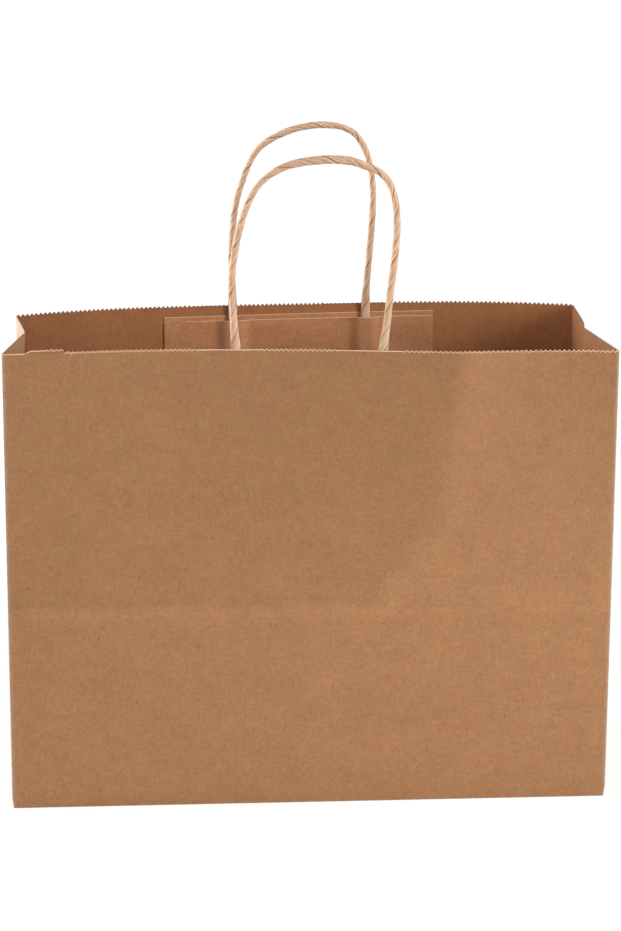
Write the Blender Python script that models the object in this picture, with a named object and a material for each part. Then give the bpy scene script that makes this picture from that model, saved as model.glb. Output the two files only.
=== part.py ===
"""Brown kraft paper gift bag with a saw-cut rim, side gussets and two twisted cord handles.

Run with: blender --background --python part.py
Lengths are metres and +Z is up. The origin is the middle of the underside, and the front is at -Y.
"""

import math

import bmesh
import bpy
from mathutils import Vector

# Paper bag, measured outside
BAG_WIDTH = 0.4064
BAG_DEPTH = 0.1524
BAG_HEIGHT = 0.313
PAPER = 0.0002
SEAT_GAP = 0.0003

# Saw-cut rim
TOOTH_PITCH = 0.003175
TOOTH_DEPTH = 0.0013
RIM_BAND = 0.0035

# How each top corner stands away from the point above its foot
RIM_SHIFT = {
    "front_left": Vector((0.0004, 0.0017, 0.0006)),
    "front_right": Vector((-0.0004, 0.0047, -0.0009)),
    "rear_right": Vector((-0.0045, 0.0043, 0.0026)),
    "rear_left": Vector((0.0045, 0.0006, -0.0021)),
}

# The feet of the corners draw in just above the base
BASE_TUCK = 0.0008
TUCK_HEIGHT = 0.008

# The front panel is pressed in at the upper left, and the rear panel bows out towards the rim
HOLLOW_DEPTH = 0.0135
HOLLOW_X = -0.068
HOLLOW_LEFT_REACH = 0.165
RIDGE_TOP_X = 0.099
RIDGE_FOOT_X = 0.042
REAR_BOW = 0.026
BOW_POWER = 3.5
BOW_RISE = 1.3

# Fold left across the front by the flat-packed base
CREASE_HEIGHT = 0.132
CREASE_DEPTH = 0.001
CREASE_REACH = 0.014

# Side gussets, folded inwards along their middle
LEFT_INSET = 0.0096
RIGHT_INSET = 0.0075
GUSSET_BULGE = 0.0025

# Glued lap of the sheet, inside the front panel near its left edge
LAP_START = 0.0154
LAP_WIDTH = 0.025
LAP_STEP = 0.0003
LAP_RISE = 0.0015

# The base's rear flap lies under its front flap, which reaches past the middle by this much
FLAP_OVERLAP = 0.014

# Pair of paper strips that holds each handle's feet inside the bag
STRIP_WIDTH = 0.195
STRIP_HEIGHT = 0.045
STRIP_PAPER = 0.00025
STRIP_DROP = 0.008
COVER_DROP = 0.0034
CHANNEL_RAMP = 0.004
FRONT_STRIP_SLOPE = 0.0
REAR_STRIP_SLOPE = 0.008

# Twisted cord handles
CORD_RADIUS = 0.0026
FOOT_HALF_WIDTH = 0.0034
FOOT_HALF_DEPTH = 0.0013
FOOT_LENGTH = 0.038
ROUND_ABOVE_RIM = 0.025
FRONT_SPAN = 0.097
FRONT_RISE = 0.1247
FRONT_MIDDLE_X = -0.0023
REAR_SPAN = 0.0964
REAR_RISE = 0.1294
REAR_MIDDLE_X = 0.0023

# Each handle from its left foot to its right, as shares of its span and of its rise above the rim
FRONT_ROUTE = (
    (-0.515, 0.17), (-0.527, 0.36), (-0.493, 0.57), (-0.423, 0.758), (-0.327, 0.882), (-0.162, 0.966),
    (0.062, 1.0), (0.25, 0.998), (0.38, 0.968), (0.477, 0.93), (0.539, 0.866), (0.573, 0.77),
    (0.583, 0.65), (0.571, 0.49), (0.548, 0.33), (0.526, 0.155),
)
REAR_ROUTE = (
    (-0.503, 0.10), (-0.508, 0.333), (-0.482, 0.545), (-0.431, 0.691), (-0.357, 0.822), (-0.27, 0.90),
    (-0.118, 0.961), (0.013, 0.989), (0.144, 1.0), (0.293, 0.989), (0.397, 0.952), (0.474, 0.875),
    (0.525, 0.757), (0.545, 0.616), (0.539, 0.444), (0.519, 0.242), (0.503, 0.08),
)

# How finely the faces follow the shapes
PANEL_STEPS = 32
GUSSET_STEPS = 8
UPPER_STEPS = 4
STRIP_STEPS = 10
STRIP_ROWS = 3
CORD_SIDES = 10
CORD_STEP = 0.007
LINES_APART = 0.002
PAPER_SHARP_ANGLE = math.radians(10)
CORD_SHARP_ANGLE = math.radians(50)

# The walls in order round the bag, seen from above: name, first corner, last corner, way out
WALLS = (
    ("front", "front_left", "front_right", Vector((0.0, -1.0, 0.0))),
    ("right", "front_right", "rear_right", Vector((1.0, 0.0, 0.0))),
    ("rear", "rear_right", "rear_left", Vector((0.0, 1.0, 0.0))),
    ("left", "rear_left", "front_left", Vector((-1.0, 0.0, 0.0))),
)
CORNER_SIGNS = {
    "front_left": (-1, -1),
    "front_right": (1, -1),
    "rear_right": (1, 1),
    "rear_left": (-1, 1),
}

KRAFT = (0.40, 0.22, 0.11)
KRAFT_INSIDE = (0.34, 0.18, 0.085)
CORD_PAPER = (0.58, 0.38, 0.22)


def lerp(first, last, share):
    return first + (last - first) * share


def smooth(share):
    """Eases from 0 to 1 with no kink at either end."""
    share = min(1.0, max(0.0, share))
    return share * share * (3 - 2 * share)


# Form of the walls


def corner_at(name, height):
    """The point of a corner edge at a height up the paper."""
    sign_x, sign_y = CORNER_SIGNS[name]
    tuck = BASE_TUCK * max(0.0, 1 - height / TUCK_HEIGHT)
    foot = Vector((sign_x * (BAG_WIDTH / 2 - tuck), sign_y * (BAG_DEPTH / 2 - tuck), height))
    return foot + RIM_SHIFT[name] * (height / BAG_HEIGHT)


def front_bulge(share, height):
    """The hollow at the upper left, ended by a ridge that leans left on its way down, and the fold below it."""
    x = (share - 0.5) * BAG_WIDTH
    above = max(0.0, height - CREASE_HEIGHT) / (BAG_HEIGHT - CREASE_HEIGHT)
    ridge = lerp(RIDGE_FOOT_X, RIDGE_TOP_X, smooth(above))
    reach = HOLLOW_LEFT_REACH if x < HOLLOW_X else ridge - HOLLOW_X
    across = min(1.0, abs(x - HOLLOW_X) / reach)
    hollow = HOLLOW_DEPTH * above * math.cos(across * math.pi / 2) ** 2
    to_corner = min(share, 1 - share) * BAG_WIDTH
    crease = CREASE_DEPTH * max(0.0, 1 - abs(height - CREASE_HEIGHT) / CREASE_REACH)
    return -(hollow + crease) * smooth(to_corner / CREASE_REACH)


def rear_bulge(share, height):
    arch = 1 - abs(2 * share - 1) ** BOW_POWER
    return REAR_BOW * arch * (height / BAG_HEIGHT) ** BOW_RISE


def gusset_bulge(share, height, inset, bulge):
    """The inward fold starts where the two slanted creases from the base's corners meet."""
    to_middle = 1 - abs(2 * share - 1)
    crease = BAG_DEPTH / 2 * to_middle
    up = max(0.0, height - crease) / (BAG_HEIGHT - crease)
    rear_half = math.sin(math.pi * max(0.0, 2 * share - 1))
    return -inset * to_middle * up + bulge * rear_half * up


def wall_point(wall, share, height):
    """A point of the bag's outer face, by its share of the wall's width and its height up the paper."""
    name, first, last, out = wall
    point = lerp(corner_at(first, height), corner_at(last, height), share)
    if name == "front":
        return point + out * front_bulge(share, height)
    if name == "rear":
        return point + out * rear_bulge(share, height)
    if name == "left":
        return point + out * gusset_bulge(share, height, LEFT_INSET, 0.0)
    return point + out * gusset_bulge(share, height, RIGHT_INSET, GUSSET_BULGE)


def panel_inside(wall, x, height, depth):
    """A point inside the front or rear panel, a depth behind the panel's outer face."""
    _, first, last, out = wall
    start = corner_at(first, height).x
    share = (x - start) / (corner_at(last, height).x - start)
    return wall_point(wall, share, height) - out * depth


# Paper bag


def columns():
    """The upright lines of the sheet round the bag: wall, share of its width, thickness and tooth count after it."""
    found = []
    for wall in WALLS:
        wide = wall[0] in ("front", "rear")
        width, steps = (BAG_WIDTH, PANEL_STEPS) if wide else (BAG_DEPTH, GUSSET_STEPS)
        places = [width * i / steps for i in range(steps)]
        lap = ()
        if wall[0] == "front":
            end = LAP_START + LAP_WIDTH
            lap = (LAP_START, LAP_START + LAP_STEP, end - LAP_STEP, end)
            places = [p for p in places if p == 0 or min(abs(p - q) for q in lap) > LINES_APART]
            places = sorted(places + list(lap))
        for place, after in zip(places, places[1:] + [width]):
            doubled = len(lap) > 0 and lap[1] <= place <= lap[2]
            teeth = round((after - place) / TOOTH_PITCH)
            found.append((wall, place / width, 2 * PAPER if doubled else PAPER, teeth))
    return found


def levels():
    """Heights of the rows of faces: the base, the gusset's slanted creases, the fold and the rim."""
    half = GUSSET_STEPS // 2
    wanted = [BAG_DEPTH / 2 * i / half for i in range(half + 1)]
    wanted += [CREASE_HEIGHT + CREASE_REACH * side for side in (-1, 0, 1)]
    top, upper = BAG_HEIGHT - RIM_BAND, max(wanted)
    wanted += [lerp(upper, top, (i + 1) / UPPER_STEPS) for i in range(UPPER_STEPS)]
    wanted.append(TUCK_HEIGHT)
    kept = []
    for height in sorted(wanted):
        if not kept or height - kept[-1] > LINES_APART:
            kept.append(height)
    return kept


def outer_ring(uprights, height):
    return [wall_point(wall, share, height) for wall, share, _, _ in uprights]


def inner_ring(uprights, outer):
    """The outer ring moved in by each upright's thickness, mitred at the folds."""
    inner = []
    for i, point in enumerate(outer):
        before = point - outer[i - 1]
        after = outer[(i + 1) % len(outer)] - point
        first = Vector((before.y, -before.x, 0)).normalized()
        second = Vector((after.y, -after.x, 0)).normalized()
        inner.append(point - (first + second) / (1 + first.dot(second)) * uprights[i][2])
    return inner


def with_heights(ring, heights):
    return [Vector((p.x, p.y, z)) for p, z in zip(ring, heights)]


def triangle(mesh, *corners):
    mesh.faces.new(corners)


def zip_edges(mesh, low, low_places, high, high_places):
    """Fills the band between two runs of points with triangles, in the order of their places."""
    i = j = 0
    while i < len(low) - 1 or j < len(high) - 1:
        next_low = low_places[i + 1] if i < len(low) - 1 else math.inf
        next_high = high_places[j + 1] if j < len(high) - 1 else math.inf
        if next_low <= next_high:
            triangle(mesh, low[i], low[i + 1], high[j])
            i += 1
        else:
            triangle(mesh, low[i], high[j + 1], high[j])
            j += 1


def cell(mesh, low_left, low_right, high_right, high_left, rising):
    """Two triangles, split along the way in which the gusset's slanted crease runs there."""
    if rising:
        triangle(mesh, low_left, low_right, high_right)
        triangle(mesh, low_left, high_right, high_left)
    else:
        triangle(mesh, low_left, low_right, high_left)
        triangle(mesh, low_right, high_right, high_left)


def wall_faces(mesh, uprights, rows):
    for lower, upper in zip(rows, rows[1:]):
        for i, upright in enumerate(uprights):
            k = (i + 1) % len(uprights)
            cell(mesh, lower[i], lower[k], upper[k], upper[i], upright[1] < 0.5)


def tooth_row(mesh, uprights, ring, rise):
    """The saw-cut edge: for each upright, the points from it to the next, both ends counted."""
    starts = [mesh.verts.new(p - Vector((0, 0, TOOTH_DEPTH - lift))) for p, lift in zip(ring, rise)]
    runs = []
    for i, upright in enumerate(uprights):
        k = (i + 1) % len(uprights)
        run = [starts[i]]
        for step in range(1, 2 * upright[3]):
            share = step / (2 * upright[3])
            depth = 0 if step % 2 else TOOTH_DEPTH
            lift = lerp(rise[i], rise[k], share)
            run.append(mesh.verts.new(lerp(ring[i], ring[k], share) + Vector((0, 0, lift - depth))))
        runs.append(run + [starts[k]])
    return runs


def rim_faces(mesh, row, runs):
    for i, run in enumerate(runs):
        places = [step / (len(run) - 1) for step in range(len(run))]
        zip_edges(mesh, [row[i], row[(i + 1) % len(row)]], [0, 1], run, places)


def cut_edge_faces(mesh, outer_runs, inner_runs):
    for outer, inner in zip(outer_runs, inner_runs):
        for i in range(len(outer) - 1):
            cell(mesh, outer[i], outer[i + 1], inner[i + 1], inner[i], True)


def wall_run(uprights, ring, name):
    """The points of a ring that lie on one wall, from corner to corner."""
    picked = [i for i, upright in enumerate(uprights) if upright[0][0] == name]
    return [ring[i] for i in picked] + [ring[(picked[-1] + 1) % len(ring)]]


def across_base(mesh, edge, fold):
    """Fills between a long edge of the base, given from left to right, and the line of folds facing it."""
    zip_edges(mesh, edge, [v.co.x for v in edge], fold, [v.co.x for v in fold])


def ear_faces(mesh, run, tip):
    for first, last in zip(run, run[1:]):
        triangle(mesh, first, last, tip)


def base_inside(mesh, uprights, ring, height):
    tips = [mesh.verts.new((side * (BAG_WIDTH - BAG_DEPTH) / 2, 0, height)) for side in (-1, 1)]
    across_base(mesh, wall_run(uprights, ring, "front"), tips)
    across_base(mesh, wall_run(uprights, ring, "rear")[::-1], tips)
    ear_faces(mesh, wall_run(uprights, ring, "left"), tips[0])
    ear_faces(mesh, wall_run(uprights, ring, "right"), tips[1])


def base_underside(mesh, uprights, ring):
    """The folded flaps: the front one lowest, the rear one a paper's thickness up and the ears two."""
    middle = (BAG_WIDTH - BAG_DEPTH) / 2
    inner = middle - FLAP_OVERLAP
    tips = {
        (side, layer): mesh.verts.new((side * middle, 0, layer * PAPER))
        for side in (-1, 1)
        for layer in range(3)
    }
    free_edge = {
        (side, layer): mesh.verts.new((side * inner, FLAP_OVERLAP, layer * PAPER))
        for side in (-1, 1)
        for layer in range(2)
    }
    fronts, rears = (
        [tips[-1, layer], free_edge[-1, layer], free_edge[1, layer], tips[1, layer]] for layer in range(2)
    )
    front_edge = wall_run(uprights, ring, "front")
    rear_edge = wall_run(uprights, ring, "rear")[::-1]
    across_base(mesh, front_edge, fronts)
    across_base(mesh, rear_edge, rears)
    for i in range(3):
        cell(mesh, fronts[i], fronts[i + 1], rears[i + 1], rears[i], True)
    for side, name, end in ((-1, "left", 0), (1, "right", -1)):
        ear_faces(mesh, wall_run(uprights, ring, name), tips[side, 2])
        triangle(mesh, front_edge[end], tips[side, 0], tips[side, 1])
        triangle(mesh, front_edge[end], tips[side, 1], tips[side, 2])
        triangle(mesh, rear_edge[end], tips[side, 1], tips[side, 2])


def foot_heights(uprights):
    """How high the paper's lowest fold lies along each wall: the front flap's is on the floor."""
    heights = []
    for wall, share, _, _ in uprights:
        rear_corner = share == 0 and wall[0] in ("rear", "left")
        if wall[0] == "front" or (share == 0 and wall[0] == "right"):
            heights.append(0.0)
        elif wall[0] == "rear" or rear_corner:
            heights.append(PAPER)
        else:
            heights.append(2 * PAPER)
    return heights


def build_bag(material):
    mesh = bmesh.new()
    uprights = columns()
    inside_base = 3 * PAPER
    outer_rows, inner_rows = [], []
    for height in levels():
        outer = outer_ring(uprights, height)
        inner = inner_ring(uprights, outer)
        if height == 0:
            outer = with_heights(outer, foot_heights(uprights))
            inner = with_heights(inner, [inside_base] * len(inner))
        outer_rows.append([mesh.verts.new(p) for p in outer])
        inner_rows.append([mesh.verts.new(p) for p in inner])
    wall_faces(mesh, uprights, outer_rows)
    wall_faces(mesh, uprights, inner_rows)

    outer = outer_ring(uprights, BAG_HEIGHT)
    flat = [0.0] * len(uprights)
    lap = [LAP_RISE if upright[2] > PAPER else 0.0 for upright in uprights]
    outer_runs = tooth_row(mesh, uprights, outer, flat)
    inner_runs = tooth_row(mesh, uprights, inner_ring(uprights, outer), lap)
    rim_faces(mesh, outer_rows[-1], outer_runs)
    rim_faces(mesh, inner_rows[-1], inner_runs)
    cut_edge_faces(mesh, outer_runs, inner_runs)

    base_inside(mesh, uprights, inner_rows[0], inside_base)
    base_underside(mesh, uprights, outer_rows[0])
    finish(mesh, "bag_body", material, PAPER_SHARP_ANGLE)


# Handle strips


def leg_places(middle, span):
    return middle - span / 2, middle + span / 2


def strip_lines(middle, span):
    """Upright lines across a strip: evenly spaced ones, and the four that shape each cord's channel."""
    channel = FOOT_HALF_WIDTH + SEAT_GAP
    shaped = [
        leg + side * (channel + ramp)
        for leg in leg_places(middle, span)
        for side in (-1, 1)
        for ramp in (0, CHANNEL_RAMP)
    ]
    even = [middle + STRIP_WIDTH * (i / STRIP_STEPS - 0.5) for i in range(STRIP_STEPS + 1)]
    edges = (even[0], even[-1])
    kept = [x for x in even if x in edges or min(abs(x - y) for y in shaped) > LINES_APART]
    return sorted(kept + shaped)


def channel_lift(x, middle, span):
    """How far the cover strip stands up over a cord's foot."""
    nearest = min(abs(x - leg) for leg in leg_places(middle, span))
    beyond = max(0.0, nearest - FOOT_HALF_WIDTH - SEAT_GAP)
    return (2 * FOOT_HALF_DEPTH + SEAT_GAP) * max(0.0, 1 - beyond / CHANNEL_RAMP)


def strip_grid(wall, lines, drop, slope, depth_at):
    """Rows of points inside a panel, from the strip's lower edge to its top, which may slope up to the right."""
    middle = (lines[0] + lines[-1]) / 2
    bottom, top = BAG_HEIGHT - STRIP_DROP - STRIP_HEIGHT, BAG_HEIGHT - drop
    rows = []
    for row in range(STRIP_ROWS + 1):
        height = lerp(bottom, top, row / STRIP_ROWS)
        rows.append([panel_inside(wall, x, height + slope * (x - middle), depth_at(x)) for x in lines])
    return rows


def build_strip(name, material, near, far):
    """A thin solid between two grids of points, with the same split of every cell on both faces."""
    mesh = bmesh.new()
    sheets = [[[mesh.verts.new(p) for p in row] for row in grid] for grid in (near, far)]
    for grid in sheets:
        for lower, upper in zip(grid, grid[1:]):
            for i in range(len(lower) - 1):
                cell(mesh, lower[i], lower[i + 1], upper[i + 1], upper[i], True)
    borders = []
    for grid in sheets:
        right = [row[-1] for row in grid[1:-1]]
        left = [row[0] for row in grid[1:-1]]
        borders.append(grid[0] + right + grid[-1][::-1] + left[::-1])
    count = len(borders[0])
    for i in range(count):
        k = (i + 1) % count
        cell(mesh, borders[0][i], borders[0][k], borders[1][k], borders[1][i], True)
    finish(mesh, name, material, PAPER_SHARP_ANGLE)


def build_strips(wall, middle, span, slope, material):
    """The backing strip lies flat on the panel, and the cover strip over it and the cord's feet."""
    lines = strip_lines(middle, span)
    near = PAPER + SEAT_GAP
    far = near + STRIP_PAPER

    def backing(depth):
        return strip_grid(wall, lines, STRIP_DROP, slope, lambda x: depth)

    def cover(depth):
        drop = STRIP_DROP + COVER_DROP
        return strip_grid(wall, lines, drop, slope, lambda x: depth + channel_lift(x, middle, span))

    build_strip(f"{wall[0]}_backing_strip", material, backing(near), backing(far))
    cover_near = far + SEAT_GAP
    build_strip(f"{wall[0]}_cover_strip", material, cover(cover_near), cover(cover_near + STRIP_PAPER))


# Handles


def roundness(height):
    """0 where the cord is pressed flat between the strips, 1 where it is round above the rim."""
    start = BAG_HEIGHT - STRIP_DROP
    return smooth((height - start) / (BAG_HEIGHT + ROUND_ABOVE_RIM - start))


def cord_half_depth(height):
    return lerp(FOOT_HALF_DEPTH, CORD_RADIUS, roundness(height))


def leg_point(wall, x, height):
    """The middle of the cord where it lies along the panel."""
    depth = PAPER + 2 * SEAT_GAP + STRIP_PAPER + cord_half_depth(height)
    return panel_inside(wall, x, height, depth)


def handle_points(wall, route, middle, span, rise):
    """The route from foot to foot: down in the strips along the panel, and upright above the rim."""
    left, right = leg_places(middle, span)
    top = BAG_HEIGHT - STRIP_DROP
    heights = (top - FOOT_LENGTH, top - FOOT_LENGTH / 2, top, BAG_HEIGHT)
    points = [leg_point(wall, left, height) for height in heights]
    ends = points[-1], leg_point(wall, right, BAG_HEIGHT)
    inwards = -wall[3] * (CORD_RADIUS - cord_half_depth(BAG_HEIGHT))
    for across, up in route:
        point = lerp(*ends, across + 0.5) + inwards * roundness(BAG_HEIGHT + up * rise)
        points.append(point + Vector((0, 0, up * rise)))
    points += [leg_point(wall, right, height) for height in reversed(heights)]
    return points


def curve_through(points, step):
    """Points a step apart on a smooth curve through the given ones."""
    padded = [2 * points[0] - points[1]] + points + [2 * points[-1] - points[-2]]
    found = []
    for i in range(1, len(padded) - 2):
        before, start, end, after = padded[i - 1:i + 3]
        count = max(1, round((end - start).length / step))
        for j in range(count):
            t = j / count
            found.append(
                start
                + (end - before) * (t / 2)
                + (2 * before - 5 * start + 4 * end - after) * (t ** 2 / 2)
                + (3 * start - 3 * end + after - before) * (t ** 3 / 2)
            )
    return found + [points[-1]]


def build_handle(name, material, points):
    """A closed tube, pressed flat at its feet and round above."""
    mesh = bmesh.new()
    path = curve_through(points, CORD_STEP)
    rings = []
    for i, point in enumerate(path):
        along = (path[min(i + 1, len(path) - 1)] - path[max(i - 1, 0)]).normalized()
        side = Vector((0, 1, 0)).cross(along).normalized()
        face = along.cross(side)
        flat = roundness(point.z)
        half_width = lerp(FOOT_HALF_WIDTH, CORD_RADIUS, flat)
        half_depth = lerp(FOOT_HALF_DEPTH, CORD_RADIUS, flat)
        ring = []
        for k in range(CORD_SIDES):
            turn = math.tau * (k + 0.5) / CORD_SIDES
            offset = side * half_width * math.cos(turn) + face * half_depth * math.sin(turn)
            ring.append(mesh.verts.new(point + offset))
        rings.append(ring)
    for lower, upper in zip(rings, rings[1:]):
        for k in range(CORD_SIDES):
            after = (k + 1) % CORD_SIDES
            mesh.faces.new((lower[k], lower[after], upper[after], upper[k]))
    mesh.faces.new(rings[0][::-1])
    mesh.faces.new(rings[-1])
    finish(mesh, name, material, CORD_SHARP_ANGLE)


# Scene


def paper_material(name, colour):
    material = bpy.data.materials.new(name)
    material.use_nodes = True
    shader = material.node_tree.nodes["Principled BSDF"]
    shader.inputs["Base Color"].default_value = (*colour, 1.0)
    shader.inputs["Roughness"].default_value = 0.85
    shader.inputs["Metallic"].default_value = 0.0
    return material


def finish(mesh, name, material, sharp_angle):
    """Turns the faces outwards and puts the solid in the scene."""
    bmesh.ops.recalc_face_normals(mesh, faces=mesh.faces)
    data = bpy.data.meshes.new(name)
    mesh.to_mesh(data)
    mesh.free()
    data.materials.append(material)
    data.shade_smooth()
    data.set_sharp_from_angle(angle=sharp_angle)
    bpy.context.scene.collection.objects.link(bpy.data.objects.new(name, data))


def main():
    for old in list(bpy.data.objects):
        bpy.data.objects.remove(old)
    build_bag(paper_material("bag_kraft", KRAFT))
    front, rear = WALLS[0], WALLS[2]
    for wall, route, middle, span, rise, slope in (
        (front, FRONT_ROUTE, FRONT_MIDDLE_X, FRONT_SPAN, FRONT_RISE, FRONT_STRIP_SLOPE),
        (rear, REAR_ROUTE, REAR_MIDDLE_X, REAR_SPAN, REAR_RISE, REAR_STRIP_SLOPE),
    ):
        name = wall[0]
        build_strips(wall, middle, span, slope, paper_material(f"{name}_strip_kraft", KRAFT_INSIDE))
        points = handle_points(wall, route, middle, span, rise)
        build_handle(f"{name}_handle", paper_material(f"{name}_cord_paper", CORD_PAPER), points)


main()
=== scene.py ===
"""Looks of the brown kraft gift bag: its paper, saw-cut rim, glued strips and twisted cord handles.

Lengths are metres, +Z is up and the front is at -Y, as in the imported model.
"""

import math

import bpy
import numpy as np
from mathutils import Matrix, Vector, noise


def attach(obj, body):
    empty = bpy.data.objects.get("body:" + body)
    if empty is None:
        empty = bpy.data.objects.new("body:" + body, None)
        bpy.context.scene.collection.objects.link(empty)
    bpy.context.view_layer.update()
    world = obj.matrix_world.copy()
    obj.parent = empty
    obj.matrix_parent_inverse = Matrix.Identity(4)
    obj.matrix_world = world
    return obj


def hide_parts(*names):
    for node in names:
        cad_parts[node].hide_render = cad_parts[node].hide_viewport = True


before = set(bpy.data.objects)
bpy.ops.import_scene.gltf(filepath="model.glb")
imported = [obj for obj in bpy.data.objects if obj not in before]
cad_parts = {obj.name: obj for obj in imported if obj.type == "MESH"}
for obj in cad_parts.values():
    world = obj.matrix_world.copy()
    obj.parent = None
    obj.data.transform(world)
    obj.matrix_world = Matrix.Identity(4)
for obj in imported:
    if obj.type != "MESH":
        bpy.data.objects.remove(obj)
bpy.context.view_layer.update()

# Camera at the photograph's view, with the sensor along the picture's longer side
CAMERA_AZIMUTH = math.radians(-4.3526)
CAMERA_ELEVATION = math.radians(14.0378)
CAMERA_ROLL = math.radians(0.4201)
CAMERA_DISTANCE = 1.7
CAMERA_TARGET = Vector((0.00362, 0.0, 0.21865))
PHOTO_HEIGHT = 931
FOCAL_PIXELS = 2453.9
SENSOR_MM = 36.0

# Paper bag, measured outside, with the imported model's sizes
BAG_WIDTH = 0.4064
BAG_DEPTH = 0.1524
BAG_HEIGHT = 0.313
PAPER = 0.0002
SEAT_GAP = 0.0003

# How close the lap and the strips lie to what they are glued to
GLUE_GAP = 0.00012

# Saw-cut rim
TOOTH_PITCH = 0.003175
TOOTH_DEPTH = 0.0015
REAR_TOOTH_SHARE = 1.15
RIM_BAND = 0.0035
FRAYED_BAND = 0.0006

# Unevenness of the teeth's depth, as shares of it, and of the cut's line, with how fast each changes
TOOTH_SHARE = 0.98
TOOTH_UNEVENNESS = 0.25
TOOTH_NOISE = 420
RIM_SWAY = 0.0001
SWAY_NOISE = 45

# Stretches of the rim, from x to x, where the teeth are worn or pressed to a share of their depth
FRONT_WORN = ((-0.21, -0.189, 0.35), (-0.189, -0.163, 0.05), (-0.077, -0.034, 0.15), (0.016, 0.06, 0.15))
REAR_WORN = ((-0.076, -0.046, 0.55), (0.022, 0.07, 0.35))
WORN_EASE = 0.004

# The rim stands this much higher at the left gusset's fold
LEFT_FOLD_RISE = 0.0012

# How each top corner stands away from the point above its foot
RIM_SHIFT = {
    "front_left": Vector((-0.0002, 0.0017, 0.0006)),
    "front_right": Vector((-0.0004, 0.0047, -0.0009)),
    "rear_right": Vector((-0.0045, 0.0043, 0.0026)),
    "rear_left": Vector((0.0029, 0.0006, -0.0021)),
}

# The feet of the corners draw in just above the base
BASE_TUCK = 0.0008
TUCK_HEIGHT = 0.008

# The front panel is pressed in on both sides of a ridge that curves left on its way down to the fold
HOLLOW_DEPTH = 0.0135
HOLLOW_X = -0.072
RIDGE_ROUNDING = 0.0012
BEYOND_DEPTH = 0.0033

# The ridge's line: how far up it is from the fold to the rim, and its x there
RIDGE_LINE = (
    (0.0, 0.040), (0.06, 0.0455), (0.14, 0.0555), (0.26, 0.0725),
    (0.31, 0.0805), (0.38, 0.085), (0.65, 0.0925), (1.0, 0.099),
)

# The rear panel bows out towards the rim
REAR_BOW = 0.026
BOW_POWER = 3.5
BOW_RISE = 1.3

# Fold left across the front by the flat-packed base
CREASE_HEIGHT = 0.1405
CREASE_HEIGHT_SHARES = (0.06, 0.18, 0.35, 0.6, 1)
CREASE_DEPTH = 0.0012
CREASE_REACH = 0.014

# Side gussets, folded inwards along their middle
LEFT_INSET = 0.0109
RIGHT_INSET = 0.0084
GUSSET_BULGE = 0.0016

# Folds are rounded by this much on each side
FOLD_RADIUS = 0.0008
BASE_FOLD_RADIUS = 0.0006

# Slight unevenness of handled paper, with how fast it changes across and up
WAVE_HEIGHT = 0.0004
WAVE_REACH = 0.025
WAVE_ACROSS = 14
WAVE_UP = 9

# Shares of painted shade on the front panel's outside, darker where it is pressed in, towards the top, at
# its top right and just above the fold, and where: each pair that follows a share is where the change starts
# and over what length it grows, or for a BAND its middle and half width
PRESSED_SHADE = 0.055
PRESSED_EDGE = (-0.004, 0.008)
PRESSED_FOOT = (-0.0015, 0.003)
TOP_SHADE = 0.085
TOP_SHADE_FROM = 0.15
TOP_SHADE_LENGTH = 0.15
CORNER_SHADE = 0.05
CORNER_SHADE_ACROSS = (0.115, 0.04)
CORNER_SHADE_UP = (0.2, 0.1)
CREASE_SHADE = 0.04
CREASE_SHADE_BAND = (0.0045, 0.003)
CREASE_SHADE_LEFT = (-0.05, 0.05)

# Shares of painted highlight on it, beside the ridge, in a band just below the fold, in a patch below the
# fold, along a faint line and in a faint patch, and where
RIDGE_HIGHLIGHT = 0.035
RIDGE_HIGHLIGHT_FOOT = (-0.021, 0.03)
RIDGE_HIGHLIGHT_BAND = (0.013, 0.012)
CREASE_HIGHLIGHT = 0.08
CREASE_HIGHLIGHT_BAND = (-0.0045, 0.0045)
PATCH_HIGHLIGHT = 0.02
PATCH_BAND_ACROSS = (0.06, 0.05)
PATCH_BAND_UP = (0.115, 0.03)
FAINT_HIGHLIGHT = 0.015
FAINT_LINE_BAND = (-0.098, 0.005)
FAINT_LINE_UP = (0.2, 0.04)
FAINT_PATCH_START = (0.07, 0.03)
FAINT_PATCH_END = (-0.103, 0.001)
FAINT_PATCH_BAND_UP = (0.098, 0.03)

# How far the folds are rubbed to their fibres: the corners' within this reach, where the paler fibres also
# stand for painted highlight, and the base's by this share
FOLD_WEAR_AND_HIGHLIGHT_REACH = 3 * FOLD_RADIUS
BASE_WEAR = 0.5

# Painted light and shade of the inside: the left gusset gets a paler tone and a whitish painted highlight,
# and painted shade darkens the rear panel's left end and the strips' right
LEFT_INNER_TONE = 1.15
LEFT_INNER_HIGHLIGHT = 0.25
REAR_CORNER_SHADE = 0.16
REAR_CORNER_LEFT = (0.14, 0.03)
STRIP_END_SHADE = 0.1
STRIP_END_FROM = 0.2

# Glued lap of the sheet, inside the front panel near its left edge
LAP_START = 0.0154
LAP_WIDTH = 0.0244
LAP_RISE = 0.0017
LAP_EASE = 0.003
LAP_TOOTH_SHIFT = 0.4

# The base's rear flap lies under its front flap, which reaches past the middle by this much
FLAP_OVERLAP = 0.014

# Pair of paper strips that holds each handle's feet inside the bag
STRIP_WIDTH = 0.195
STRIP_HEIGHT = 0.045
STRIP_PAPER = 0.00025
STRIP_DROP = 0.008
COVER_DROP = 0.0034
CHANNEL_RAMP = 0.009
FRONT_STRIP_SLOPE = 0.0
REAR_STRIP_SLOPE = 0.008
REAR_STRIP_RISE = 0.0012

# The strips' wrinkles: height, how far below the top edge they start, and how fast the broad and the fine
# ones change across, with height across, up, and with place up
STRIP_PUFF = 0.0005
PUFF_START = 0.004
BROAD_WRINKLES = (22, 40, 70, 14)
FINE_WRINKLES = (60, 120, 190, 40)
FINE_WRINKLE_SHARE = 0.4

# The ragged dip in the rear cover strip's top edge, from x to x
NOTCH_START = -0.0915
NOTCH_END = -0.082
NOTCH_EASE = 0.002
NOTCH_DEPTH = 0.002
NOTCH_RAGGED = 0.0013

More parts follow.
